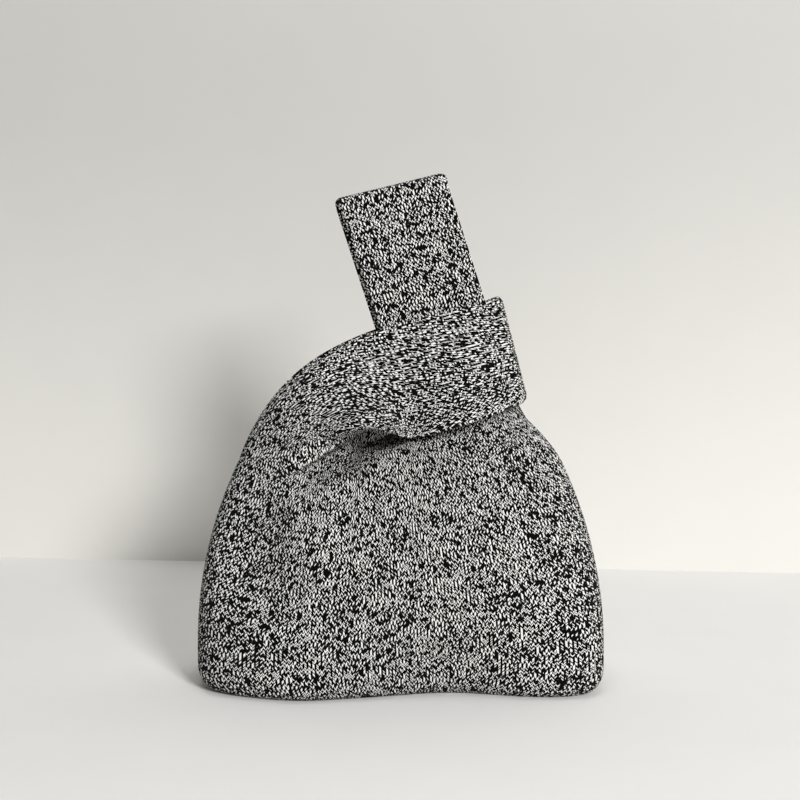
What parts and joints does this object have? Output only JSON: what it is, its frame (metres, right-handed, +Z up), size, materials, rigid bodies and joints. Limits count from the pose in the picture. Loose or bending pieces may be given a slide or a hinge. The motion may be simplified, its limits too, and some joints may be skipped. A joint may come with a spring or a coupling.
{
  "type": "knot bag",
  "caption": "Soft knitted wrist pouch standing closed: a short loop at one shoulder is drawn over a long handle at the other to shut the mouth.",
  "frame": {"origin": "middle of the base, on the surface the bag stands on", "axes": "+Z up, +X to the right seen from the front, the front faces -Y"},
  "size_m": [0.2, 0.0904, 0.2509],
  "materials": {
    "marl_knit": "matte black and white marled knit",
    "seam_yarn": "matte linking yarn"
  },
  "bodies": {
    "bag_body": {"front_panel": "marl_knit", "back_panel": "marl_knit", "base_panel": "marl_knit", "base_seam": "seam_yarn", "left_side_seam": "seam_yarn", "right_side_seam": "seam_yarn", "left_arm_front": "marl_knit", "left_arm_back": "marl_knit", "right_arm_front": "marl_knit", "right_arm_back": "marl_knit", "handle_bend_front": "marl_knit", "handle_bend_back": "marl_knit"},
    "short_loop": {"short_loop_front": "marl_knit", "short_loop_back": "marl_knit", "short_loop_seam": "seam_yarn"},
    "long_handle": {"long_handle_front": "marl_knit", "long_handle_back": "marl_knit", "long_handle_seam": "seam_yarn"}
  },
  "joints": [
    {"name": "short_loop_slide", "type": "slide", "parent": "bag_body", "child": "short_loop", "axis": [-0.309, 0, 0.9511], "range_m": [0, 0.015], "deforming": ["left_arm_front", "left_arm_back"]},
    {"name": "long_handle_fold", "type": "hinge", "parent": "bag_body", "child": "long_handle", "pos_m": [0.00852, 0, 0.20358], "axis": [0.9511, 0, 0.309], "range_deg": [-60, 60], "deforming": ["handle_bend_front", "handle_bend_back"]}
  ]
}
